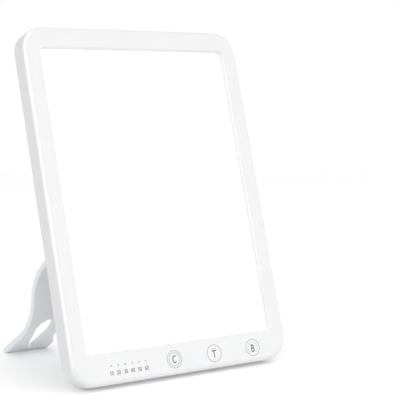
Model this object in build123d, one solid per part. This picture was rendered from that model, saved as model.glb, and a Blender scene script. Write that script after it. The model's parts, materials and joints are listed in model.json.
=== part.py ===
from build123d import *
import os
from math import asin, atan2, cos, degrees, hypot, radians, sin

os.makedirs("parts", exist_ok=True)

# Light therapy lamp: an edge-lit panel that leans back on a folding, swivelling stand.
# Millimetres and degrees. The panel's pieces are drawn upright first: X to the right, Y from
# the front face to the back, Z up from the bottom edge. The last section leans them back.

# --- panel ---------------------------------------------------------------------------------
panel_w = 222.5
panel_h = 305.4
corner_r = 21.0
front_edge_r = 4.0
back_edge_r = 3.0
lean = 16.45
face_t = 2.2
wall_t = 2.2
cover_skin = 2.2
cover_rim = 3.3
window_top = 18.8
window_bottom = 26.5
window_r = 4.5
window_edge_r = 2.0
window_depth = 4.0
lip = 2.5
rail_t = 1.2
tongue_t = 1.5
tongue_h = 3.0
fit_gap = 0.1

# --- light stack ---------------------------------------------------------------------------
diffuser_t = 2.0
guide_t = 3.0
reflector_t = 0.4
strip_t = 1.6
strip_over = 0.3
chip_out = 0.8
chip_w = 2.8
chip_l = 3.5
chip_pitch = 11.0
chip_gap = 0.2
strip_end_gap = 4.0
foam_size = 12.0
foam_x = 75.0
foam_z = 95.0

# --- case screws and their bosses ----------------------------------------------------------
boss_r = 4.2
boss_bite = 0.4
boss_level = 9.0
case_screw_r = 1.3
case_head_r = 2.6
case_head_t = 1.6
case_screw_len = 14.0
screw_clear = 0.05
side_boss_z = 60.0
top_boss_x = 60.0
corner_boss_inset = 13.5

# --- touch board ---------------------------------------------------------------------------
key_right_inset = 40.0
key_pitch = 41.9
key_count = 3
key_foam_r = 5.0
key_foam_bore_r = 1.5
key_foam_t = 3.0
lamp_left_inset = 36.5
lamp_pitch = 6.74
lamp_count = 6
lamp_rise = 2.7
pipe_r = 0.7
pipe_flange_r = 1.2
pipe_flange_t = 0.8
board_t = 1.2
board_clear = 1.5
led_w = 1.6
led_d = 0.8
board_post_r = 2.6
board_screw_r = 0.9
board_head_r = 1.8
board_head_t = 1.0
board_screw_grip = 2.4
touch_chip_w = 5.0
touch_chip_t = 1.0
ribbon_w = 12.0
ribbon_t = 0.3
ribbon_bend_r = 3.0
ribbon_lap = 6.0
ribbon_leave = 3.5

# --- driver board and inlet ----------------------------------------------------------------
driver_w = 52.0
driver_h = 36.0
driver_rise = 21.0
driver_t = 1.4
post_h = 1.2
post_inset = 4.0
inductor_r = 5.0
inductor_t = 3.6
capacitor_r = 2.5
capacitor_t = 4.0
capacitor_gap = 1.5
driver_chip_w = 5.0
driver_chip_t = 1.5
plug_w = 8.0
plug_d = 4.5
plug_t = 3.4
lead_r = 0.6
lead_bend_r = 3.0
jack_w = 9.0
jack_depth = 7.5
jack_len = 14.0
jack_drop = 10.0
jack_nose_r = 3.4
jack_bore_r = 2.9
jack_bore_len = 9.5
jack_pin_r = 1.0
jack_pin_short = 1.0
jack_reveal = 0.4
jack_clear = 0.075
part_clear = 0.3

# --- swivel --------------------------------------------------------------------------------
hub_r = 37.0
hub_t = 3.6
hub_edge_r = 0.8
well_depth = 3.1
well_floor_t = 2.2
well_clear = 0.4
spindle_r = 12.0
spindle_clear = 0.06
washer_t = 0.4
washer_w = 4.0
washer_clear = 0.05
retainer_r = 17.0
retainer_t = 1.8
retainer_screw_r = 1.2
retainer_head_r = 2.2
retainer_head_t = 1.2
retainer_ring_r = 7.5
retainer_screw_count = 3
retainer_screw_len = 5.0
stop_peg_r = 2.0
stop_peg_clear = 0.3
stop_ring_r = 26.0
swivel_turn = 90.0
well_rib_count = 8
well_rib_len = 24.0
well_rib_t = 1.2
well_rib_h = 1.6

# --- hinge ---------------------------------------------------------------------------------
pin_lift = 7.5
pin_r = 2.0
pin_clear = 0.05
pin_head_r = 3.2
pin_head_t = 1.2
barrel_r = 4.6
barrel_w = 32.0
ear_w = 6.0
ear_r = 5.0
ear_foot = 12.0
hinge_washer_t = 0.8
heel_w = 20.0
heel_len = 8.0
heel_edge_r = 1.0

# --- stand leg -----------------------------------------------------------------------------
leg_t = 5.5
leg_edge_r = 1.7
leg_half_w = 81.4
shoulder_r = 140.0
shoulder_len = 104.0
top_corner_r = 12.0
leg_top = 7.5
leg_top_run = 72.4
bulge_r = 48.5
bulge_sweep = 36.9
hollow_r = 46.0
hollow_sweep = 56.5
foot_run = 41.4
sole_rise = 0.4
arch_r = 46.9
arch_centre = 136.4
arch_mouth = 73.0
arch_blend_r = 15.0
toe_corner_r = 3.0
slot_web = 9.5
slot_rail = 9.0
slot_top = 121.9
slot_toe = 4.2
slot_corner_r = 12.0
slot_tip_r = 1.5
slot_swell = 3.8
slot_round_share = 0.8

# --- sizes that follow from the ones above -------------------------------------------------
strip_room = chip_gap + chip_out + strip_t + fit_gap
boss_inset = wall_t + boss_r - boss_bite
window_side = boss_inset + boss_r - boss_bite + rail_t + strip_room + lip
window_w = panel_w - 2 * window_side
window_h = panel_h - window_top - window_bottom
window_z = window_bottom + window_h / 2
plate_w = window_w + 2 * lip
plate_h = window_h + 2 * lip

guide_y = window_depth + diffuser_t
reflector_y = guide_y + guide_t
bay_y = reflector_y + reflector_t
hub_stack = (
    well_depth + well_floor_t - cover_skin + washer_t + 2 * washer_clear
    + retainer_t + retainer_head_t + part_clear
)
driver_stack = post_h + driver_t + max(capacitor_t, inductor_t) + part_clear
jack_stack = jack_depth + 2 * jack_clear
bay_depth = max(hub_stack, driver_stack, jack_stack)
cover_y = bay_y + bay_depth
panel_t = cover_y + cover_skin
frame_depth = panel_t - cover_rim

touch_y = face_t + key_foam_t
touch_zone_top = window_bottom - lip - fit_gap - rail_t
key_z = (wall_t + touch_zone_top) / 2
touch_h = touch_zone_top - wall_t - 2 * board_clear
touch_w = panel_w - 2 * (corner_boss_inset + boss_r + board_clear)
key_xs = [panel_w / 2 - key_right_inset - i * key_pitch for i in range(key_count)]
lamp_xs = [lamp_left_inset - panel_w / 2 + i * lamp_pitch for i in range(lamp_count)]
lamp_z = key_z + lamp_rise
touch_post_xs = [(key_xs[i] + key_xs[i + 1]) / 2 for i in range(key_count - 1)]

inner_x = panel_w / 2 - wall_t
jack_x = inner_x - jack_len
driver_x = jack_x - part_clear - driver_w / 2
driver_z = window_bottom + driver_rise
driver_y = cover_y - post_h - driver_t
jack_y = cover_y - jack_clear - jack_depth / 2
jack_z = driver_z - jack_drop

hub_z = panel_h / 2
floor_y = panel_t - well_depth
floor_in_y = floor_y - well_floor_t
spindle_end_y = floor_in_y - washer_t - 2 * washer_clear
hub_under_y = floor_y + fit_gap
hub_face_y = hub_under_y + hub_t
pin_y = hub_face_y + pin_lift
stop_half_gap = stop_peg_r + stop_peg_clear


def slab(shape, y_front, y_back):
    """A sketch in X and Z, thickened from one depth to another."""
    return extrude(Plane.XZ.offset(-y_front) * shape, amount=y_back - y_front, dir=(0, 1, 0))


def rod(radius, x, z, y_front, y_back):
    """A round post along Y."""
    return slab(Pos(x, z) * Circle(radius), y_front, y_back)


def cross_rod(radius, x_low, x_high, y, z):
    """A round bar along X."""
    return Pos(x_low, y, z) * extrude(Plane.YZ * Circle(radius), amount=x_high - x_low)


def block(width, depth, height, x, y, z):
    """A box centred at x, y, z."""
    return Pos(x, y, z) * Box(width, depth, height)


def panel_outline(inset):
    """The panel's rounded rectangle, moved in by an inset."""
    shape = RectangleRounded(panel_w - 2 * inset, panel_h - 2 * inset, corner_r - inset)
    return Pos(0, panel_h / 2) * shape


def case_screw_places():
    """Where the eight case screws stand, as x and z."""
    side_x = panel_w / 2 - boss_inset
    rows = [hub_z - side_boss_z, hub_z + side_boss_z]
    sides = [(sign * side_x, z) for sign in (-1, 1) for z in rows]
    top = [(sign * top_boss_x, panel_h - boss_inset) for sign in (-1, 1)]
    foot = [(sign * (panel_w / 2 - corner_boss_inset), corner_boss_inset) for sign in (-1, 1)]
    return sides + top + foot


def driver_post_places():
    """Where the driver board's screws stand, as x and z."""
    reach_x = driver_w / 2 - post_inset
    reach_z = driver_h / 2 - post_inset
    corners = [(-1, -1), (-1, 1), (1, 1)]
    return [(driver_x + i * reach_x, driver_z + j * reach_z) for i, j in corners]


def retainer_screw_places():
    """Where the retainer's screws stand round the spindle's axis, as x and z."""
    turns = [radians(90 + i * 360 / retainer_screw_count) for i in range(retainer_screw_count)]
    return [(retainer_ring_r * cos(a), hub_z + retainer_ring_r * sin(a)) for a in turns]


# --- casing --------------------------------------------------------------------------------
def front_frame():
    """Bezel and side walls in one moulding, with rails, bosses and the inlet's hole."""
    body = slab(panel_outline(0), 0, frame_depth)
    body = fillet(body.faces().sort_by(Axis.Y)[0].edges(), front_edge_r)
    body -= slab(panel_outline(wall_t), face_t, frame_depth)
    collar = Pos(0, window_z) * Rectangle(plate_w, plate_h + 2 * fit_gap + rail_t)
    body += slab(collar, face_t, window_depth)
    window = Pos(0, window_z) * RectangleRounded(window_w, window_h, window_r)
    body -= slab(window, 0, window_depth)
    rim = body.faces().sort_by(Axis.Y)[0].inner_wires()[0].edges()
    body = fillet(rim, window_edge_r)

    rail_x = plate_w / 2 + strip_room + rail_t / 2
    for side in (-1, 1):
        upright = Pos(side * rail_x, window_z) * Rectangle(rail_t, plate_h)
        body += slab(upright, face_t, reflector_y)
        level_z = window_z + side * (plate_h / 2 + fit_gap + rail_t / 2)
        body += slab(Pos(0, level_z) * Rectangle(plate_w, rail_t), face_t, bay_y)
    for x, z in case_screw_places():
        body += rod(boss_r, x, z, face_t, boss_level)
    for x in touch_post_xs:
        body += rod(board_post_r, x, key_z, face_t, touch_y)

    for x, z in case_screw_places():
        body -= rod(case_screw_r + screw_clear, x, z, face_t, boss_level)
    for x in touch_post_xs:
        body -= rod(board_screw_r + screw_clear, x, key_z, face_t, touch_y)
    for x in lamp_xs:
        body -= rod(pipe_r + screw_clear, x, lamp_z, 0, face_t)
    body -= cross_rod(jack_nose_r + fit_gap, inner_x, panel_w / 2, jack_y, jack_z)
    return body


def well_ribs():
    """Radial stiffeners that spread from the well over the inside of the cover."""
    inner = hub_r + well_clear
    outer = inner + cover_skin + well_rib_len
    rib = Pos((inner + outer) / 2, 0) * Rectangle(outer - inner, well_rib_t)
    ribs = Sketch() + [Rot(Z=i * 360 / well_rib_count) * rib for i in range(well_rib_count)]
    return slab(Pos(0, hub_z) * ribs, cover_y - well_rib_h, cover_y)


def stop_slot():
    """The curved slot that the hub's stop peg runs in."""
    travel = CenterArc((0, 0), stop_ring_r, 90 - swivel_turn, swivel_turn)
    return Pos(0, hub_z) * SlotArc(travel, 2 * stop_half_gap)


def rear_cover():
    """Back shell: rounded rim, tongue, screw tubes, and the well that the hub turns in."""
    body = slab(panel_outline(0), frame_depth, panel_t)
    body = fillet(body.faces().sort_by(Axis.Y)[-1].edges(), back_edge_r)
    body -= slab(panel_outline(wall_t), frame_depth, cover_y)

    tongue_out = wall_t + fit_gap
    tongue = slab(panel_outline(tongue_out), frame_depth - tongue_h, cover_y)
    tongue -= slab(panel_outline(tongue_out + tongue_t), frame_depth - tongue_h, cover_y)
    notch_h = jack_w + 2 * part_clear
    tongue -= block(2 * jack_len, panel_t, notch_h, inner_x, panel_t / 2, jack_z)
    body += tongue

    well_r = hub_r + well_clear
    body += rod(well_r + cover_skin, 0, hub_z, floor_in_y, cover_y)
    body += well_ribs()
    body -= rod(well_r, 0, hub_z, floor_y, panel_t)
    body -= rod(spindle_r + spindle_clear, 0, hub_z, floor_in_y, floor_y)
    body -= slab(stop_slot(), floor_in_y, floor_y)

    for x, z in case_screw_places():
        body += rod(boss_r - boss_bite - fit_gap, x, z, boss_level, cover_y)
        body -= rod(case_screw_r + fit_gap, x, z, boss_level, panel_t)
        body -= rod(case_head_r + fit_gap, x, z, panel_t - case_head_t, panel_t)
    for x, z in driver_post_places():
        body += rod(board_post_r, x, z, cover_y - post_h, cover_y)
        body -= rod(board_screw_r + screw_clear, x, z, cover_y - post_h, cover_y + board_screw_r)
    return body - cross_rod(jack_nose_r + fit_gap, inner_x, panel_w / 2, jack_y, jack_z)


def case_screws():
    """Eight self-tapping screws with flat heads sunk in the cover."""
    screws = []
    under = panel_t - case_head_t
    for x, z in case_screw_places():
        head = rod(case_head_r, x, z, under, panel_t - fit_gap)
        screws.append(head + rod(case_screw_r, x, z, under - case_screw_len, under))
    return screws


# --- light stack ---------------------------------------------------------------------------
def plate(y_front, thickness):
    """A flat sheet behind the window."""
    return slab(Pos(0, window_z) * Rectangle(plate_w, plate_h), y_front, y_front + thickness)


def led_strip(side):
    """The long narrow circuit board beside the light guide."""
    x = side * (plate_w / 2 + chip_gap + chip_out + strip_t / 2)
    length = plate_h - 2 * strip_end_gap
    depth = guide_t + 2 * strip_over
    return block(strip_t, depth, length, x, guide_y + guide_t / 2, window_z)


def led_chips(side):
    """The row of LEDs that shines into the guide's edge."""
    x = side * (plate_w / 2 + chip_gap + chip_out / 2)
    room = plate_h - 2 * strip_end_gap - 2 * chip_l
    count = int(room // chip_pitch) + 1
    low = window_z - (count - 1) * chip_pitch / 2
    y = guide_y + guide_t / 2
    return [block(chip_out, chip_w, chip_l, x, y, low + i * chip_pitch) for i in range(count)]


def foam_blocks():
    """Pads that press the light stack against the bezel, apart from the driver board."""
    thickness = cover_y - bay_y
    places = [(sx * foam_x, hub_z + sz * foam_z) for sx in (-1, 1) for sz in (-1, 0, 1)]
    clear = [p for p in places if not near_driver(*p)]
    return [block(foam_size, thickness, foam_size, x, bay_y + thickness / 2, z) for x, z in clear]


def near_driver(x, z):
    """Whether a foam pad would stand on the driver board."""
    reach = foam_size / 2 + part_clear
    return abs(x - driver_x) < driver_w / 2 + reach and abs(z - driver_z) < driver_h / 2 + reach


# --- touch board ---------------------------------------------------------------------------
def touch_board():
    """Circuit board behind the lower bezel."""
    body = block(touch_w, board_t, touch_h, 0, touch_y + board_t / 2, key_z)
    for x in touch_post_xs:
        body -= rod(board_screw_r + fit_gap, x, key_z, touch_y, touch_y + board_t)
    return body


def touch_key_foams():
    """Conductive foam rings that carry each touch key from the bezel to the board."""
    rings = []
    for x in key_xs:
        ring = rod(key_foam_r, x, key_z, face_t, touch_y)
        rings.append(ring - rod(key_foam_bore_r, x, key_z, face_t, touch_y))
    return rings


def touch_chip():
    """Touch controller on the back of its board."""
    y = touch_y + board_t + touch_chip_t / 2
    return block(touch_chip_w, touch_chip_t, touch_chip_w, key_xs[-1], y, key_z)


def indicator_light_pipes():
    """Small clear pins, flush with the bezel, that show which timer step is on."""
    pipes = []
    for x in lamp_xs:
        pin = rod(pipe_r, x, lamp_z, 0, touch_y - led_d - fit_gap)
        pipes.append(pin + rod(pipe_flange_r, x, lamp_z, face_t, face_t + pipe_flange_t))
    return pipes


def indicator_leds():
    """One small LED behind each light pipe."""
    y = touch_y - led_d / 2
    return [block(led_w, led_d, led_w / 2, x, y, lamp_z) for x in lamp_xs]


def board_screws():
    """Short screws of the touch board and of the driver board."""
    screws = []
    back = touch_y + board_t
    for x in touch_post_xs:
        head = rod(board_head_r, x, key_z, back, back + board_head_t)
        screws.append(head + rod(board_screw_r, x, key_z, back - board_t - board_screw_grip, back))
    for x, z in driver_post_places():
        head = rod(board_head_r, x, z, driver_y - board_head_t, driver_y)
        end = cover_y + board_screw_r - screw_clear
        screws.append(head + rod(board_screw_r, x, z, driver_y, end))
    return screws


def touch_ribbon():
    """Flat cable that rises from the touch board to the driver board."""
    lower_y = touch_y + board_t + ribbon_t / 2
    upper_y = driver_y - ribbon_t / 2
    low_edge = driver_z - driver_h / 2
    leaves_z = key_z + touch_h / 2 - ribbon_leave
    points = [
        (lower_y, leaves_z - ribbon_lap),
        (lower_y, leaves_z),
        (upper_y, low_edge),
        (upper_y, low_edge + ribbon_lap),
    ]
    side = Plane.YZ * trace(FilletPolyline(*points, radius=ribbon_bend_r), ribbon_t)
    x = max(touch_post_xs) + board_head_r + part_clear
    return Pos(x, 0, 0) * extrude(side, amount=ribbon_w, dir=(1, 0, 0))


# --- driver board and inlet ----------------------------------------------------------------
def driver_board():
    """Power board on posts inside the cover."""
    body = block(driver_w, driver_t, driver_h, driver_x, driver_y + driver_t / 2, driver_z)
    for x, z in driver_post_places():
        body -= rod(board_screw_r + fit_gap, x, z, driver_y, driver_y + driver_t)
    return body


def driver_inductor():
    """Round choke of the LED driver."""
    return rod(inductor_r, driver_x, driver_z + inductor_r, driver_y - inductor_t, driver_y)


def driver_capacitors():
    """Two can capacitors beside the choke."""
    x = driver_x + inductor_r + capacitor_gap + capacitor_r
    step = 2 * capacitor_r + capacitor_gap
    places = [driver_z + inductor_r + sign * step / 2 for sign in (-1, 1)]
    return [rod(capacitor_r, x, z, driver_y - capacitor_t, driver_y) for z in places]


def driver_chip():
    """LED driver chip."""
    x = driver_x - inductor_r - capacitor_gap - driver_chip_w / 2
    y = driver_y - driver_chip_t / 2
    return block(driver_chip_w, driver_chip_t, driver_chip_w, x, y, driver_z + inductor_r)


def plug_places():
    """Where the two lead connectors stand, as x and z: left lead, right lead."""
    low = driver_z - driver_h / 2 + plug_d / 2 + part_clear
    right = driver_x + driver_w / 2 - plug_w / 2 - part_clear
    return [(right - plug_w - plug_d, low), (right, low)]


def driver_connectors():
    """Two plug housings for the LED leads."""
    y = driver_y - plug_t / 2
    return [block(plug_w, plug_t, plug_d, x, y, z) for x, z in plug_places()]


def led_lead(side):
    """Insulated lead from its connector to the end of an LED strip."""
    x, z = plug_places()[0 if side < 0 else 1]
    y = bay_y + fit_gap + lead_r
    low = z - plug_d / 2 - lead_bend_r - lead_r
    strip_x = side * (plate_w / 2 + chip_gap + chip_out + strip_t / 2)
    strip_z = window_z - plate_h / 2 + strip_end_gap + lead_bend_r
    points = [(x, y, z - plug_d / 2), (x, y, low), (strip_x, y, low), (strip_x, y, strip_z)]
    path = FilletPolyline(*points, radius=lead_bend_r)
    ring = Plane(origin=path @ 0, z_dir=path % 0) * Circle(lead_r)
    return sweep(ring, path)


def dc_jack():
    """Round inlet: its nose stands in the right-hand wall."""
    body = block(jack_len, jack_depth, jack_w, jack_x + jack_len / 2, jack_y, jack_z)
    mouth = panel_w / 2 - jack_reveal
    body += cross_rod(jack_nose_r, inner_x, mouth, jack_y, jack_z)
    body -= cross_rod(jack_bore_r, mouth - jack_bore_len, mouth, jack_y, jack_z)
    return body


def dc_jack_pin():
    """Centre contact of the inlet."""
    mouth = panel_w / 2 - jack_reveal
    return cross_rod(jack_pin_r, mouth - jack_bore_len, mouth - jack_pin_short, jack_y, jack_z)


# --- swivel --------------------------------------------------------------------------------
def hub_ear():
    """Side profile of a hinge ear: a round eye that widens to its foot."""
    eye = Pos(pin_y, hub_z) * Circle(ear_r)
    foot = Pos(hub_face_y - fit_gap, hub_z) * Rectangle(2 * fit_gap, ear_foot)
    return make_hull(eye.edges() + foot.edges())


def swivel_hub():
    """Round disc in the cover's well, with the spindle, the stop peg and two hinge ears."""
    body = rod(hub_r, 0, hub_z, hub_under_y, hub_face_y)
    body = fillet(body.faces().sort_by(Axis.Y)[-1].edges(), hub_edge_r)
    body += rod(spindle_r, 0, hub_z, spindle_end_y, hub_under_y)
    body += rod(stop_peg_r, 0, hub_z + stop_ring_r, floor_in_y, hub_under_y)
    inside = barrel_w / 2 + hinge_washer_t + 2 * fit_gap
    for x in (-inside - ear_w, inside):
        body += Pos(x, 0, 0) * extrude(Plane.YZ * hub_ear(), amount=ear_w)
    body -= cross_rod(pin_r + pin_clear, -inside - ear_w, inside + ear_w, pin_y, hub_z)
    for x, z in retainer_screw_places():
        end = spindle_end_y + retainer_screw_len - retainer_t
        body -= rod(retainer_screw_r + screw_clear, x, z, spindle_end_y, end)
    return body


def swivel_retainer():
    """Plate that holds the spindle in the cover from inside."""
    body = rod(retainer_r, 0, hub_z, spindle_end_y - retainer_t, spindle_end_y)
    for x, z in retainer_screw_places():
        body -= rod(retainer_screw_r + fit_gap, x, z, spindle_end_y - retainer_t, spindle_end_y)
    return body


def swivel_washer():
    """Slip ring between the retainer and the well's floor, which gives the swivel its drag."""
    low = spindle_end_y + washer_clear
    inner = spindle_r + spindle_clear
    ring = rod(inner + washer_w, 0, hub_z, low, low + washer_t)
    return ring - rod(inner, 0, hub_z, low, low + washer_t)


def retainer_screws():
    """Screws through the retainer into the spindle."""
    screws = []
    under = spindle_end_y - retainer_t
    end = under + retainer_screw_len - fit_gap
    for x, z in retainer_screw_places():
        head = rod(retainer_head_r, x, z, under - retainer_head_t, under)
        screws.append(head + rod(retainer_screw_r, x, z, under, end))
    return screws


def hinge_pin():
    """Headed steel pin through both ears and the leg's barrel."""
    reach = barrel_w / 2 + hinge_washer_t + 2 * fit_gap + ear_w
    body = cross_rod(pin_r, -reach - pin_head_t, reach + pin_head_t, pin_y, hub_z)
    return body + cross_rod(pin_head_r, -reach - pin_head_t, -reach, pin_y, hub_z)


def hinge_washers():
    """A friction washer at each end of the barrel."""
    low = barrel_w / 2 + fit_gap
    rings = []
    for x in (low, -low - hinge_washer_t):
        ring = cross_rod(barrel_r, x, x + hinge_washer_t, pin_y, hub_z)
        rings.append(ring - cross_rod(pin_r + pin_clear, x, x + hinge_washer_t, pin_y, hub_z))
    return rings


# --- lean ----------------------------------------------------------------------------------
rise = (panel_t - back_edge_r) * sin(radians(lean)) + back_edge_r * (1 - cos(radians(lean)))
hinge_y = pin_y * cos(radians(lean)) + hub_z * sin(radians(lean))
hinge_z = hub_z * cos(radians(lean)) - pin_y * sin(radians(lean)) + rise


# --- stand leg -----------------------------------------------------------------------------
def leg_line(side):
    """The leg's S-curve from hinge to toe, offset to one side of its middle."""
    top = Line((0, side), (leg_top_run, side))
    bulge = JernArc(top @ 1, top % 1, bulge_r + side, -bulge_sweep)
    hollow = JernArc(bulge @ 1, bulge % 1, hollow_r - side, hollow_sweep)
    foot = Line(hollow @ 1, hollow @ 1 + foot_run * (hollow % 1))
    return [top, bulge, hollow, foot]


middle_end = leg_line(0)[-1] @ 1
leg_chord = hypot(middle_end.X, middle_end.Y)
chord_drop = degrees(asin((hinge_z - sole_rise) / leg_chord))
leg_turn = -chord_drop - degrees(atan2(middle_end.Y, middle_end.X))
toe_turn = leg_turn - bulge_sweep + hollow_sweep
slot_inner_x = arch_r + slot_web
slot_outer_x = leg_half_w - slot_rail
slot_apex = leg_chord - slot_toe
slot_round = min(slot_corner_r, (slot_outer_x - slot_inner_x) * slot_round_share)


def leg_sheet():
    """The S-curve as a sheet of even thickness across the leg's whole width."""
    outer = leg_line(leg_t / 2)
    inner = leg_line(-leg_t / 2)
    top_end = Line(inner[0] @ 0, outer[0] @ 0)
    toe_end = Line(outer[-1] @ 1, inner[-1] @ 1)
    side = make_face(Wire(outer + [toe_end] + inner + [top_end]))
    placed = Plane.YZ * Pos(hinge_y, hinge_z) * Rot(Z=leg_turn) * side
    return extrude(placed, amount=leg_half_w + leg_t, both=True)


def leg_side(sign):
    """One outer edge of the leg's plan, from its shoulder to past the toe."""
    past_toe = leg_chord + leg_t
    straight = Line((sign * leg_half_w, past_toe), (sign * leg_half_w, shoulder_len))
    turn = degrees(asin((shoulder_len - leg_top) / shoulder_r))
    shoulder = JernArc(straight @ 1, straight % 1, shoulder_r, -sign * turn)
    return straight, shoulder


def leg_slot():
    """The leaf in the right foot: a straight inner side and a swelling outer one."""
    top_inner = (slot_inner_x, slot_top)
    top_outer = (slot_outer_x, slot_top)
    apex = (slot_inner_x, slot_apex)
    middle = ((slot_outer_x + slot_inner_x) / 2 + slot_swell, (slot_top + slot_apex) / 2)
    swell = ThreePointArc(top_outer, middle, apex)
    leaf = make_face(Wire([Line(apex, top_inner), Line(top_inner, top_outer), swell]))
    leaf = fillet(leaf.vertices().sort_by(Axis.X)[-1], slot_round)
    return fillet(leaf.vertices().group_by(Axis.X)[0], slot_tip_r)


def leg_plan():
    """The leg seen square to its chord: x across, and the distance from the hinge to the toe."""
    right_straight, right_shoulder = leg_side(1)
    left_straight, left_shoulder = leg_side(-1)
    top = Line(right_shoulder @ 1, left_shoulder @ 1)
    foot = Line(left_straight @ 0, right_straight @ 0)
    right = [right_straight, right_shoulder]
    left = [left_shoulder, left_straight]
    outline = make_face(Wire(right + [top] + left + [foot]))
    outline = fillet(outline.vertices().group_by(Axis.Y)[0], top_corner_r)
    mouth_h = leg_chord + leg_t - arch_centre
    mouth = Pos(0, arch_centre + mouth_h / 2) * Rectangle(arch_mouth, mouth_h)
    outline -= Pos(0, arch_centre) * Circle(arch_r) + mouth
    outline = fillet(
        outline.vertices().filter_by_position(Axis.Y, arch_centre, leg_chord), arch_blend_r
    )
    leaf = leg_slot()
    return outline - leaf - mirror(leaf, about=Plane.YZ)


def leg_rims(sheet, draw):
    """The edges that ring the sheet's outline, arch and slots, without those that cross it."""
    across = sheet.edges().filter_by(Axis.X).sort_by(Axis.Y)
    corners = sheet.edges().filter_by(Axis((0, 0, 0), draw))
    return sheet.edges() - across[:-2] - corners


def leg_barrel():
    """Round barrel and neck at the hinge, with the heel that meets the hub when the leg is open."""
    barrel = cross_rod(barrel_r, -barrel_w / 2, barrel_w / 2, 0, 0)
    neck_len = leg_top + leg_t / 2
    neck = block(barrel_w, neck_len, leg_t, 0, neck_len / 2, 0)
    reach = pin_lift - fit_gap
    heel = block(heel_w, reach, heel_len, 0, -reach / 2, heel_len / 2)
    heel = fillet(heel.edges().filter_by(Axis.X).sort_by(Axis.Z)[-2:], heel_edge_r)
    bore = cross_rod(pin_r + pin_clear, -barrel_w / 2, barrel_w / 2, 0, 0)
    return barrel + Rot(X=leg_turn) * neck + Rot(X=-lean) * heel - bore


def stand_leg():
    """S-curved sheet with two feet, an arch between them, and a barrel and heel at its top."""
    turn = radians(chord_drop)
    square = Plane((0, hinge_y, hinge_z), x_dir=(1, 0, 0), z_dir=(0, sin(turn), cos(turn)))
    depth = bulge_r + hollow_r
    body = leg_sheet() & extrude(square * leg_plan(), amount=depth, both=True)
    toe_side = Vector(0, -sin(radians(toe_turn)), cos(radians(toe_turn)))
    body = fillet(body.edges().filter_by(Axis((0, 0, 0), toe_side)), toe_corner_r)
    body = fillet(leg_rims(body, square.z_dir), leg_edge_r)
    body -= Pos(0, 0, -depth / 2) * Box(4 * leg_half_w, 4 * leg_chord, depth)
    return body + Pos(0, hinge_y, hinge_z) * leg_barrel()


# --- the whole lamp ------------------------------------------------------------------------
def leaned_back(shape):
    """An upright piece, leaned back on the panel's rear bottom edge."""
    return Pos(0, 0, rise) * Rot(X=-lean) * shape


upright = {
    "front_frame": front_frame(),
    "rear_cover": rear_cover(),
    "case_screws": case_screws(),
    "diffuser_plate": plate(window_depth, diffuser_t),
    "light_guide_plate": plate(guide_y, guide_t),
    "reflector_sheet": plate(reflector_y, reflector_t),
    "led_strip_left": led_strip(-1),
    "led_strip_right": led_strip(1),
    "led_chips_left": led_chips(-1),
    "led_chips_right": led_chips(1),
    "foam_blocks": foam_blocks(),
    "touch_board": touch_board(),
    "touch_key_foams": touch_key_foams(),
    "touch_chip": touch_chip(),
    "indicator_light_pipes": indicator_light_pipes(),
    "indicator_leds": indicator_leds(),
    "board_screws": board_screws(),
    "touch_ribbon": touch_ribbon(),
    "driver_board": driver_board(),
    "driver_inductor": driver_inductor(),
    "driver_capacitors": driver_capacitors(),
    "driver_chip": driver_chip(),
    "driver_connectors": driver_connectors(),
    "led_lead_left": led_lead(-1),
    "led_lead_right": led_lead(1),
    "dc_jack": dc_jack(),
    "dc_jack_pin": dc_jack_pin(),
    "swivel_hub": swivel_hub(),
    "swivel_retainer": swivel_retainer(),
    "swivel_washer": swivel_washer(),
    "retainer_screws": retainer_screws(),
    "hinge_pin": hinge_pin(),
    "hinge_washers": hinge_washers(),
}


def grouped(piece):
    """One shape for a node, whether it is a single solid or several."""
    return Compound(piece) if isinstance(piece, list) else piece


nodes = {name: leaned_back(grouped(piece)) for name, piece in upright.items()}
nodes["stand_leg"] = stand_leg()
front = nodes["front_frame"].bounding_box().min.Y
back = nodes["stand_leg"].bounding_box().max.Y
for name, shape in nodes.items():
    export_step(Pos(0, -(front + back) / 2, 0) * shape, f"parts/{name}.step")
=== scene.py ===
import json
from math import cos, pi, radians, sin

import bmesh
import bpy
from mathutils import Matrix, Vector


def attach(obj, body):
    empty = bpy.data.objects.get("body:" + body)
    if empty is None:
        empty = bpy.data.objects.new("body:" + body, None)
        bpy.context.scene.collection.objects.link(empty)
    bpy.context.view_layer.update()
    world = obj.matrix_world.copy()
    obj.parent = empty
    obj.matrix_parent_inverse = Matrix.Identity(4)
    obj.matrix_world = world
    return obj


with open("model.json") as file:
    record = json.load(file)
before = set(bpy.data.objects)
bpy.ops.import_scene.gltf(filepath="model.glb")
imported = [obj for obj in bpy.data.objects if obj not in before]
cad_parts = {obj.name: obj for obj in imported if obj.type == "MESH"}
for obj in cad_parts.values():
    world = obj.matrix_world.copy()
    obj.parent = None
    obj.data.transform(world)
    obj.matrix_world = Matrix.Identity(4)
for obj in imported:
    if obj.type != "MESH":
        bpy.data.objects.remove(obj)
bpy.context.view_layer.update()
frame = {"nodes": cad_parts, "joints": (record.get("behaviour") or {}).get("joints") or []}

# Light therapy lamp: the finish of its CAD pieces, the marks printed on its bezel, and the studio.
# Metres and degrees, in the CAD's frame. The marks are drawn in the panel's own plane: across from
# its middle, and up from its bottom edge.

# --- the panel's plane ---------------------------------------------------------------------
# The swivel's place: how far behind the front face it is, and how far above the bottom edge.
HUB_FACE = 0.01985
HUB_UP = 0.1527

# --- touch keys ----------------------------------------------------------------------------
INK_T = 0.00003
KEY_ACROSS = (-0.0123, 0.0296, 0.0720)
KEY_UP = 0.01275
RING_R = 0.0073
RING_STEPS = 72
INNER_RING_R = 0.0055
INNER_RING_STEPS = 64
RING_LINE = 0.0005

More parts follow.
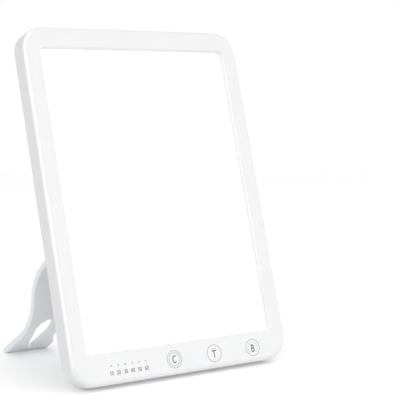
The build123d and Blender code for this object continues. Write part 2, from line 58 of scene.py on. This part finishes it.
# Each key's letter: the sign, the width that it is centred by, in units of its box, and how far it
# sits below the key's middle.
KEY_LETTERS = (("C", 0.80, 0.0), ("T", 1.04, 0.0006), ("B", 0.70, 0.0006))
LETTER_H = 0.0062
LETTER_W = 0.76
LETTER_LINE = 0.0010

# The timer key has a dashed line above its letter.
DASH_COUNT = 3
DASH_UP = 0.0040
DASH_REACH = 0.0024
DASH_LINE = 0.0008

# The brightness key has ticks round its letter, open at the bottom.
TICK_COUNT = 10
TICK_FIRST = -50
TICK_LAST = 225
TICK_IN = 0.0046
TICK_OUT = 0.0054
TICK_LINE = 0.0007

# --- timer digits --------------------------------------------------------------------------
# Each step's two digits are centred on its place.
STEP_START = -0.0754
STEP_PITCH = 0.00688
STEP_COUNT = 6
STEP_MINUTES = 10
STEP_UP = 0.0092
DIGIT_H = 0.0033
DIGIT_W = 0.86
DIGIT_LINE = 0.00048
DIGIT_GAP = 0.00035

# --- studio --------------------------------------------------------------------------------
FLOOR_REACH = 30
FLOOR_GLOW = 0.14
BACKDROP_R = 2.6
BACKDROP_SEGMENTS = 48
BACKDROP_RINGS = 24
LAMP_MIDDLE = (0, 0, 0.14)
# The sky dims between these two values of how squarely a direction faces its dim side.
SKY_FALL = (0.0, 0.9)

# --- camera --------------------------------------------------------------------------------
CAMERA_PLACE = (-0.601844, -0.934934, 0.24229)
CAMERA_YAW = -36.0781
CAMERA_PITCH = -4.9905
CAMERA_ROLL = -0.0919
CAMERA_LENS = 111.28
CAMERA_SENSOR = 36
CAMERA_REACH = 100

# --- materials -----------------------------------------------------------------------------
# Noise mostly stays between these two values, so ramps over it start and end there.
NOISE_LOW = 0.3
NOISE_HIGH = 0.7


class Finish:
    """A material with a Principled shader, and short calls that wire its procedural detail."""

    def __init__(self, name, colour, roughness, metallic=0.0):
        self.material = bpy.data.materials.new(name)
        self.material.use_nodes = True
        self.nodes = self.material.node_tree.nodes
        self.links = self.material.node_tree.links
        self.shader = self.nodes["Principled BSDF"]
        self.colour = colour
        self.shader.inputs["Base Color"].default_value = (*colour, 1)
        self.shader.inputs["Roughness"].default_value = roughness
        self.shader.inputs["Metallic"].default_value = metallic
        self.place = self.nodes.new("ShaderNodeTexCoord").outputs["Object"]

    def set(self, **values):
        """Sets shader sockets that are the same all over, named with _ for a space."""
        for name, value in values.items():
            self.shader.inputs[name.replace("_", " ")].default_value = value
        return self

    def noise(self, per_metre, detail=2.0, stretch=(1, 1, 1)):
        """Noise of a given fineness; a share under 1 in stretch draws it out along that axis."""
        spread = self.nodes.new("ShaderNodeMapping")
        spread.inputs["Scale"].default_value = [per_metre * share for share in stretch]
        self.links.new(self.place, spread.inputs["Vector"])
        texture = self.nodes.new("ShaderNodeTexNoise")
        texture.inputs["Scale"].default_value = 1.0
        texture.inputs["Detail"].default_value = detail
        self.links.new(spread.outputs["Vector"], texture.inputs["Vector"])
        return texture.outputs["Fac"]

    def cells(self, per_metre, feature="F1"):
        """Voronoi cells, for foam, board tracks and phosphor grain."""
        texture = self.nodes.new("ShaderNodeTexVoronoi")
        texture.feature = feature
        texture.inputs["Scale"].default_value = per_metre
        self.links.new(self.place, texture.inputs["Vector"])
        return texture.outputs["Distance"]

    def ramp(self, value, low, low_colour, high, high_colour):
        """A colour ramp over a value, from a colour at low to a colour at high."""
        ramp = self.nodes.new("ShaderNodeValToRGB")
        stops = ((low, low_colour), (high, high_colour))
        for point, (place, colour) in zip(ramp.color_ramp.elements, stops):
            point.position = place
            point.color = (*colour, 1)
        self.links.new(value, ramp.inputs["Fac"])
        return ramp.outputs["Color"]

    def paint(self, colours, socket="Base Color"):
        """Lets a colour output drive a colour socket of the shader."""
        self.links.new(colours, self.shader.inputs[socket])
        return self

    def tint(self, value, low, high):
        """Lets the base colour wander between two shares of itself."""
        dark = [part * low for part in self.colour]
        light = [part * high for part in self.colour]
        return self.paint(self.ramp(value, NOISE_LOW, dark, NOISE_HIGH, light))

    def rough(self, value, low, high):
        """Lets the roughness wander between two values."""
        span = self.nodes.new("ShaderNodeMapRange")
        span.inputs["From Min"].default_value = NOISE_LOW
        span.inputs["From Max"].default_value = NOISE_HIGH
        span.inputs["To Min"].default_value = low
        span.inputs["To Max"].default_value = high
        self.links.new(value, span.inputs["Value"])
        self.links.new(span.outputs["Result"], self.shader.inputs["Roughness"])
        return self

    def bump(self, value, depth, strength=1.0):
        """Raises the surface by a value; several bumps add up."""
        node = self.nodes.new("ShaderNodeBump")
        node.inputs["Strength"].default_value = strength
        node.inputs["Distance"].default_value = depth
        self.links.new(value, node.inputs["Height"])
        for link in self.shader.inputs["Normal"].links:
            self.links.new(link.from_socket, node.inputs["Normal"])
        self.links.new(node.outputs["Normal"], self.shader.inputs["Normal"])
        return self


def moulded_plastic(name, colour, roughness, spark, gloss=0.0):
    """Injection-moulded plastic: spark-eroded grain, soft flow marks and a slightly uneven gloss."""
    finish = Finish(name, colour, roughness)
    finish.tint(finish.noise(45, detail=3.0), low=0.985, high=1.0)
    finish.rough(finish.noise(260, detail=3.0), low=roughness * 0.88, high=roughness * 1.12)
    finish.bump(finish.noise(5200), depth=spark)
    finish.bump(finish.noise(60, detail=1.0), depth=0.00004, strength=0.25)
    return finish.set(IOR=1.52, Coat_Weight=gloss, Coat_Roughness=0.3)


def printed_ink(name, colour):
    """Pad-printed ink: matt, with thin places."""
    finish = Finish(name, colour, roughness=0.6)
    finish.tint(finish.noise(2600), low=0.9, high=1.15)
    return finish.bump(finish.noise(9000, detail=1.0), depth=0.000004)


def opal_sheet():
    """Lit opal acrylic: even light with the faint grain of its matt face."""
    finish = Finish("opal_acrylic_lit", (0.6, 0.605, 0.61), roughness=0.45)
    glow = finish.ramp(finish.noise(30), NOISE_LOW, (0.985, 0.992, 1.0), NOISE_HIGH, (1.0, 1.0, 1.0))
    finish.paint(glow, "Emission Color")
    finish.bump(finish.noise(7000, detail=1.0), depth=0.000006)
    return finish.set(Emission_Strength=0.42, IOR=1.49)


def clear_plastic(name, colour, roughness=0.12, clearness=0.55):
    """Moulded acrylic, clear or smoky, with faint flow marks."""
    finish = Finish(name, colour, roughness)
    finish.rough(finish.noise(400), low=roughness * 0.7, high=roughness * 1.5)
    finish.bump(finish.noise(900, detail=1.0), depth=0.000005)
    return finish.set(Transmission_Weight=clearness, IOR=1.49)


def metal(name, colour, roughness, stretch=(1, 1, 1)):
    """Metal with dull spots and a fine grain, which stretch draws out into lines."""
    finish = Finish(name, colour, roughness, metallic=1.0)
    finish.tint(finish.noise(700, detail=3.0), low=0.86, high=1.06)
    finish.rough(finish.noise(1500, detail=3.0), low=roughness * 0.75, high=roughness * 1.3)
    return finish.bump(finish.noise(9000, stretch=stretch), depth=0.000008, strength=0.6)


def circuit_board(name, colour):
    """Solder-mask lacquer over copper tracks and a woven base."""
    finish = Finish(name, colour, roughness=0.38)
    tracks = finish.cells(420, "DISTANCE_TO_EDGE")
    track_colour = [part * 1.7 for part in colour]
    finish.paint(finish.ramp(tracks, 0.06, track_colour, 0.10, colour))
    finish.bump(tracks, depth=0.00003, strength=0.5)
    finish.bump(finish.noise(3000, detail=1.0), depth=0.000006)
    return finish.set(Coat_Weight=0.4, Coat_Roughness=0.2)


def foam(name, colour):
    """Open-cell foam: pale struts, and pores darkened with painted shade."""
    finish = Finish(name, colour, roughness=0.95)
    pores = finish.cells(1900)
    # Painted shade: the pores' colour is darker than the struts' colour.
    pore_shade_colour = [part * 0.45 for part in colour]
    finish.paint(finish.ramp(pores, 0.1, pore_shade_colour, 0.45, colour))
    finish.bump(pores, depth=0.0002, strength=0.8)
    return finish.set(Sheen_Weight=0.2, Sheen_Roughness=0.6)


def film(name, colour):
    """White reflector film with a pearly, slightly wavy face."""
    finish = Finish(name, colour, roughness=0.3)
    finish.tint(finish.noise(300), low=0.97, high=1.0)
    finish.bump(finish.noise(90), depth=0.00006, strength=0.4)
    return finish.set(Coat_Weight=0.3, Coat_Roughness=0.25)


def phosphor():
    """LED: lit yellow phosphor in its pocket."""
    finish = Finish("led_phosphor_lit", (0.95, 0.86, 0.45), roughness=0.5)
    grain = finish.cells(5200)
    glow = finish.ramp(grain, 0.1, (1.0, 0.93, 0.72), 0.6, (1.0, 0.98, 0.9))
    finish.paint(glow, "Emission Color")
    finish.bump(grain, depth=0.00002)
    return finish.set(Emission_Strength=1.5)


def rubbery(name, colour, roughness):
    """Insulation, epoxy, ferrite or nylon: matt with a fine grain."""
    finish = Finish(name, colour, roughness)
    finish.tint(finish.noise(900), low=0.9, high=1.05)
    finish.rough(finish.noise(1600), low=roughness * 0.85, high=roughness * 1.15)
    return finish.bump(finish.noise(4000), depth=0.00001)


# --- CAD nodes -----------------------------------------------------------------------------
def dress(finish, *names):
    """Puts a finish on CAD nodes."""
    for name in names:
        for slot in frame["nodes"][name].material_slots:
            slot.material = finish.material


def dress_casing():
    """The white mouldings that the user sees: the panel's two halves and the stand."""
    casing = moulded_plastic("casing_abs_white", (0.672, 0.673, 0.679), 0.45, spark=0.000012, gloss=0.15)
    stand = moulded_plastic("stand_abs_white", (0.74, 0.748, 0.770), 0.45, spark=0.000018)
    dress(casing, "front_frame", "rear_cover")
    dress(stand, "stand_leg", "swivel_hub")


def dress_light_stack():
    """The lit sheet in the window, what lies behind it, and the LEDs at its sides."""
    dress(opal_sheet(), "diffuser_plate")
    dress(clear_plastic("guide_acrylic", (0.95, 0.97, 0.98)), "light_guide_plate")
    dress(film("reflector_film", (0.93, 0.94, 0.95)), "reflector_sheet")
    dress(circuit_board("strip_board_white", (0.8, 0.82, 0.8)), "led_strip_left", "led_strip_right")
    dress(phosphor(), "led_chips_left", "led_chips_right", "indicator_leds")
    dress(foam("foam_grey", (0.16, 0.16, 0.17)), "foam_blocks", "touch_key_foams")


def dress_electronics():
    """The boards and what is on them, the leads, the light pipes and the inlet."""
    dress(circuit_board("board_green", (0.02, 0.16, 0.06)), "touch_board", "driver_board")
    dress(rubbery("chip_epoxy_black", (0.025, 0.025, 0.028), 0.5), "touch_chip", "driver_chip")
    dress(rubbery("choke_ferrite", (0.06, 0.06, 0.065), 0.7), "driver_inductor")
    dress(metal("can_aluminium", (0.72, 0.73, 0.74), 0.3), "driver_capacitors")
    dress(rubbery("plug_nylon_white", (0.85, 0.84, 0.8), 0.45), "driver_connectors")
    dress(rubbery("ribbon_grey", (0.55, 0.56, 0.58), 0.5), "touch_ribbon")
    dress(rubbery("lead_red", (0.55, 0.03, 0.02), 0.45), "led_lead_left", "led_lead_right")
    smoke = clear_plastic("light_pipe_smoke", (0.36, 0.365, 0.37), roughness=0.25, clearness=0.1)
    dress(smoke, "indicator_light_pipes")
    dress(rubbery("inlet_black", (0.03, 0.03, 0.032), 0.4), "dc_jack")
    dress(metal("pin_brass", (0.83, 0.66, 0.32), 0.25), "dc_jack_pin")


def dress_hardware():
    """Screws, the hinge pin, the washers and the retainer."""
    steel = metal("screw_steel", (0.56, 0.57, 0.58), 0.3)
    dress(steel, "case_screws", "board_screws", "retainer_screws")
    drawn = metal("hinge_steel_drawn", (0.62, 0.63, 0.64), 0.22, stretch=(0.05, 1, 1))
    dress(drawn, "hinge_pin")
    dress(rubbery("washer_nylon", (0.82, 0.82, 0.78), 0.4), "swivel_washer", "hinge_washers")
    dress(metal("retainer_zinc", (0.6, 0.61, 0.6), 0.38), "swivel_retainer")


# --- signs ---------------------------------------------------------------------------------
def arc(x, y, reach_x, reach_y, start, end, steps=20):
    """Points along an ellipse's arc, in degrees."""
    turns = [radians(start + (end - start) * i / steps) for i in range(steps + 1)]
    return [(x + reach_x * cos(t), y + reach_y * sin(t)) for t in turns]


# Each sign is a list of strokes in a box one unit wide and high. A digit takes GLYPH_W of its width.
GLYPH_W = 0.58
GLYPHS = {
    "0": [arc(0.29, 0.5, 0.25, 0.47, 0, 360)],
    "1": [[(0.1, 0.76), (0.34, 0.97)], [(0.34, 1.0), (0.34, 0.0)]],
    "2": [
        arc(0.28, 0.71, 0.24, 0.26, 165, -35),
        [(0.48, 0.56), (0.05, 0.05)],
        [(0.02, 0.04), (0.55, 0.04)],
    ],
    "3": [arc(0.26, 0.74, 0.22, 0.23, 145, -90), arc(0.26, 0.27, 0.25, 0.24, 90, -145)],
    "4": [[(0.42, 0.0), (0.42, 0.98)], [(0.42, 0.98), (0.02, 0.28)], [(0.0, 0.28), (0.56, 0.28)]],
    "5": [
        [(0.5, 0.96), (0.1, 0.96)],
        [(0.12, 0.98), (0.08, 0.52)],
        arc(0.26, 0.32, 0.25, 0.29, 135, -145),
    ],
    "6": [arc(0.29, 0.31, 0.24, 0.28, 0, 360), arc(0.52, 0.36, 0.47, 0.62, 170, 98)],
    "C": [arc(0.46, 0.5, 0.42, 0.47, 48, 312)],
    "T": [[(0.0, 0.95), (1.04, 0.95)], [(0.52, 0.95), (0.52, 0.0)]],
    "B": [
        [(0.09, 0.0), (0.09, 1.0)],
        [(0.09, 0.96), (0.32, 0.96)],
        arc(0.32, 0.74, 0.24, 0.22, 90, -90),
        [(0.32, 0.52), (0.09, 0.52)],
        arc(0.35, 0.28, 0.27, 0.24, 90, -90),
        [(0.35, 0.04), (0.09, 0.04)],
    ],
}


def add_stroke(mesh, points, line):
    """Adds a flat printed line of even width through points, as a thin raised ribbon."""
    closed = (Vector(points[0]) - Vector(points[-1])).length < line / 10
    if closed:
        points = points[:-1]
    last = len(points) - 1
    rows = []
    for i, point in enumerate(points):
        before = points[i - 1] if closed or i > 0 else point
        after = points[(i + 1) % len(points)] if closed or i < last else point
        along = (Vector(after) - Vector(before)).normalized()
        side = Vector((-along.y, along.x)) * line / 2
        edges = [Vector(point) + side, Vector(point) - side]
        corners = [(*edges[0], 0), (*edges[0], 1), (*edges[1], 1), (*edges[1], 0)]
        rows.append([mesh.verts.new((x, -INK_T * top, y)) for x, y, top in corners])
    for low, high in zip(rows, rows[1:] + rows[:1] if closed else rows[1:]):
        for k in range(4):
            mesh.faces.new((low[k], low[k - 1], high[k - 1], high[k]))
    if not closed:
        mesh.faces.new(rows[0])
        mesh.faces.new(rows[-1][::-1])


def add_glyph(mesh, sign, across, up, width, height, line):
    """Adds a letter or digit whose left foot is at across, up."""
    for stroke in GLYPHS[sign]:
        add_stroke(mesh, [(across + x * width, up + y * height) for x, y in stroke], line)


# --- printed marks -------------------------------------------------------------------------
def panel_matrix():
    """Takes a place on the upright panel to where the leaning panel has it."""
    swivel = next(joint for joint in frame["joints"] if joint["name"] == "stand_swivel")
    back = Vector(swivel["axis"]).normalized()
    across = Vector((1, 0, 0))
    up = across.cross(back)
    foot = Vector(swivel["pos_m"]) - HUB_FACE * back - HUB_UP * up
    matrix = Matrix((across, back, up)).transposed().to_4x4()
    matrix.translation = foot
    return matrix


def new_piece(name, mesh, finish):
    """Turns a finished mesh into an object of one material."""
    data = bpy.data.meshes.new(name)
    mesh.to_mesh(data)
    mesh.free()
    data.materials.append(finish.material)
    piece = bpy.data.objects.new(name, data)
    bpy.context.scene.collection.objects.link(piece)
    return piece


def printed(name, mesh, ink):
    """Makes a printed piece of a finished mesh and sets it on the leaning panel."""
    bmesh.ops.recalc_face_normals(mesh, faces=mesh.faces)
    piece = new_piece(name, mesh, ink)
    piece.data.transform(panel_matrix())
    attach(piece, "panel")


def key_rings(ink):
    """The rings round the three touch keys, the timer's dashes and the brightness ticks."""
    mesh = bmesh.new()
    colour_key, timer_key, brightness_key = KEY_ACROSS
    for across in KEY_ACROSS:
        add_stroke(mesh, arc(across, KEY_UP, RING_R, RING_R, 0, 360, RING_STEPS), RING_LINE)
    inner = arc(colour_key, KEY_UP, INNER_RING_R, INNER_RING_R, 0, 360, INNER_RING_STEPS)
    add_stroke(mesh, inner, RING_LINE)
    dash = 2 * DASH_REACH / (2 * DASH_COUNT - 1)
    for i in range(DASH_COUNT):
        start = timer_key - DASH_REACH + 2 * i * dash
        add_stroke(mesh, [(start, KEY_UP + DASH_UP), (start + dash, KEY_UP + DASH_UP)], DASH_LINE)
    for i in range(TICK_COUNT):
        turn = radians(TICK_FIRST + (TICK_LAST - TICK_FIRST) * i / (TICK_COUNT - 1))
        ends = [(brightness_key + r * cos(turn), KEY_UP + r * sin(turn)) for r in (TICK_IN, TICK_OUT)]
        add_stroke(mesh, ends, TICK_LINE)
    printed("key_rings", mesh, ink)


def key_letters(ink):
    """One letter on each touch key: colour, timer, brightness."""
    mesh = bmesh.new()
    width = LETTER_W * LETTER_H
    for (sign, reach, drop), across in zip(KEY_LETTERS, KEY_ACROSS):
        left = across - reach * width / 2
        foot = KEY_UP - LETTER_H / 2 - drop
        add_glyph(mesh, sign, left, foot, width, LETTER_H, LETTER_LINE)
    printed("key_letters", mesh, ink)


def timer_digits(ink):
    """The timer's steps in minutes, from 10 to 60."""
    mesh = bmesh.new()
    width = GLYPH_W * DIGIT_W * DIGIT_H
    foot = STEP_UP - DIGIT_H / 2
    for i in range(STEP_COUNT):
        left = STEP_START + i * STEP_PITCH - width - DIGIT_GAP / 2
        for k, sign in enumerate(str(STEP_MINUTES * (i + 1))):
            place = left + k * (width + DIGIT_GAP)
            add_glyph(mesh, sign, place, foot, DIGIT_W * DIGIT_H, DIGIT_H, DIGIT_LINE)
    printed("timer_digits", mesh, ink)


# --- floor, backdrop and light -------------------------------------------------------------
def floor():
    """A wide pale floor of paper. It glows a little, so that shadows on it stay pale."""
    mesh = bmesh.new()
    bmesh.ops.create_grid(mesh, x_segments=1, y_segments=1, size=FLOOR_REACH)
    finish = Finish("floor_paper", (0.815, 0.817, 0.82), roughness=0.7)
    finish.rough(finish.noise(40), low=0.62, high=0.78)
    finish.set(Emission_Color=(1, 1, 1, 1), Emission_Strength=FLOOR_GLOW)
    piece = new_piece("studio_floor", mesh, finish)


def backdrop():
    """A white dome round the lamp and the camera. Only the camera sees it, so it lights nothing."""
    mesh = bmesh.new()
    bmesh.ops.create_uvsphere(
        mesh, u_segments=BACKDROP_SEGMENTS, v_segments=BACKDROP_RINGS, radius=BACKDROP_R
    )
    finish = Finish("backdrop_white", (0, 0, 0), roughness=1.0)
    finish.set(Emission_Color=(1, 1, 1, 1), Emission_Strength=1.0, Specular_IOR_Level=0.0)
    piece = new_piece("studio_backdrop", mesh, finish)
    piece.visible_diffuse = False
    piece.visible_glossy = False
    piece.visible_transmission = False
    piece.visible_shadow = False


def softbox(name, place, aim, width, height, power, glossy_only=False):
    """A rectangular studio light turned towards a point. A glossy one shows in reflections only."""
    data = bpy.data.lights.new(name, "AREA")
    data.shape = "RECTANGLE"
    data.size = width
    data.size_y = height
    data.energy = power
    light = bpy.data.objects.new(name, data)
    light.location = place
    light.rotation_euler = (Vector(aim) - Vector(place)).to_track_quat("-Z", "Y").to_euler()
    light.visible_camera = False
    light.visible_diffuse = not glossy_only
    bpy.context.scene.collection.objects.link(light)


def sky(strength, dim_side, dim_strength):
    """White surroundings that fall off towards one side, as beside a studio flag."""
    world = bpy.data.worlds.new("studio")
    bpy.context.scene.world = world
    world.use_nodes = True
    nodes, links = world.node_tree.nodes, world.node_tree.links
    background = nodes["Background"]
    background.inputs["Color"].default_value = (1, 1, 1, 1)
    facing = nodes.new("ShaderNodeVectorMath")
    facing.operation = "DOT_PRODUCT"
    facing.inputs[1].default_value = Vector(dim_side).normalized()
    links.new(nodes.new("ShaderNodeTexCoord").outputs["Generated"], facing.inputs[0])
    fall = nodes.new("ShaderNodeMapRange")
    fall.inputs["From Min"].default_value = SKY_FALL[0]
    fall.inputs["From Max"].default_value = SKY_FALL[1]
    fall.inputs["To Min"].default_value = strength
    fall.inputs["To Max"].default_value = dim_strength
    links.new(facing.outputs["Value"], fall.inputs["Value"])
    links.new(fall.outputs["Result"], background.inputs["Strength"])


def lights():
    """A front key, two panels whose reflections edge the front left, a fill from the left, and the sky."""
    softbox("key_light", (1.4, -2.1, 1.0), LAMP_MIDDLE, width=1.6, height=1.2, power=9.5)
    softbox(
        "edge_light", (-1.5, -0.75, 0.5), LAMP_MIDDLE, width=0.9, height=1.8, power=38, glossy_only=True
    )
    softbox(
        "corner_light", (-0.45, -0.1, 1.6), LAMP_MIDDLE, width=1.2, height=0.8, power=22, glossy_only=True
    )
    softbox("side_fill", (-1.1, -0.7, 0.9), (-0.1, 0.05, 0), width=0.9, height=0.9, power=4)
    sky(strength=1.13, dim_side=(-0.85, 0.52, 0.0), dim_strength=0.55)


def camera():
    """The photograph's viewpoint."""
    data = bpy.data.cameras.new("camera")
    data.lens = CAMERA_LENS
    data.sensor_width = CAMERA_SENSOR
    data.sensor_fit = "HORIZONTAL"
    data.clip_end = CAMERA_REACH
    view = bpy.data.objects.new("camera", data)
    turn = Matrix.Rotation(radians(CAMERA_YAW), 4, "Z")
    turn @= Matrix.Rotation(radians(CAMERA_PITCH), 4, "X")
    turn @= Matrix.Rotation(radians(CAMERA_ROLL), 4, "Y")
    view.matrix_world = Matrix.Translation(CAMERA_PLACE) @ turn @ Matrix.Rotation(pi / 2, 4, "X")
    bpy.context.scene.collection.objects.link(view)
    bpy.context.scene.camera = view


camera()
dress_casing()
dress_light_stack()
dress_electronics()
dress_hardware()
key_rings(printed_ink("ink_light_grey", (0.26, 0.265, 0.27)))
key_letters(printed_ink("ink_dark_grey", (0.10, 0.10, 0.11)))
timer_digits(printed_ink("ink_mid_grey", (0.13, 0.13, 0.135)))
floor()
backdrop()
lights()
bpy.context.scene.view_settings.view_transform = "Standard"
